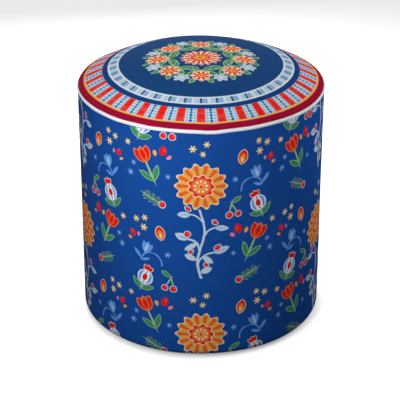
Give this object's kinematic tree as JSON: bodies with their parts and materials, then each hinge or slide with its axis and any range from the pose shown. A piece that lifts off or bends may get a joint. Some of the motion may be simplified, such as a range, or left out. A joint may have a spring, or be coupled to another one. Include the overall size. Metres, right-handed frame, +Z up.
{
  "type": "tuffet",
  "caption": "Drum-shaped upholstered footstool with a crowned patterned seat, contrast piping, a straight printed fabric side and low glides.",
  "frame": {"origin": "centre of the circle on the floor under the drum, level with the undersides of the glides", "axes": "+Z up along the drum's axis, -Y towards the side that the picture shows in front, +X to its right"},
  "size_m": [0.4226, 0.4226, 0.4734],
  "materials": {
    "top_cloth": "woven furnishing cloth with a printed medallion and concentric striped bands, matte",
    "side_cloth": "woven furnishing cloth with a printed floral pattern on deep blue, matte",
    "piping_cloth": "off-white plain-woven cotton cut on the bias, matte",
    "cord": "soft cotton piping cord",
    "wadding": "white polyester wadding",
    "foam": "pale yellow upholstery foam, open cells",
    "plywood": "unfinished birch plywood",
    "softwood": "planed, unfinished pine",
    "hardboard": "smooth-faced brown hardboard",
    "screw_steel": "zinc plated",
    "dust_cloth": "black spun-bonded lining cloth",
    "glide_plastic": "black nylon, satin"
  },
  "bodies": {
    "root": {"base_board": "plywood", "seat_board": "plywood", "drum_wall": "hardboard", "post_1": "softwood", "post_2": "softwood", "post_3": "softwood", "post_4": "softwood", "post_5": "softwood", "post_6": "softwood", "base_screw_1": "screw_steel", "base_screw_2": "screw_steel", "base_screw_3": "screw_steel", "base_screw_4": "screw_steel", "base_screw_5": "screw_steel", "base_screw_6": "screw_steel", "seat_screw_1": "screw_steel", "seat_screw_2": "screw_steel", "seat_screw_3": "screw_steel", "seat_screw_4": "screw_steel", "seat_screw_5": "screw_steel", "seat_screw_6": "screw_steel", "seat_foam": "foam", "top_wadding": "wadding", "side_wadding": "wadding", "top_cover": "top_cloth", "piping_cord": "cord", "piping_cover": "piping_cloth", "side_cover": "side_cloth", "dust_cover": "dust_cloth", "glide_1": "glide_plastic", "glide_2": "glide_plastic", "glide_3": "glide_plastic", "glide_4": "glide_plastic", "glide_screw_1": "screw_steel", "glide_screw_2": "screw_steel", "glide_screw_3": "screw_steel", "glide_screw_4": "screw_steel"}
  },
  "joints": []
}
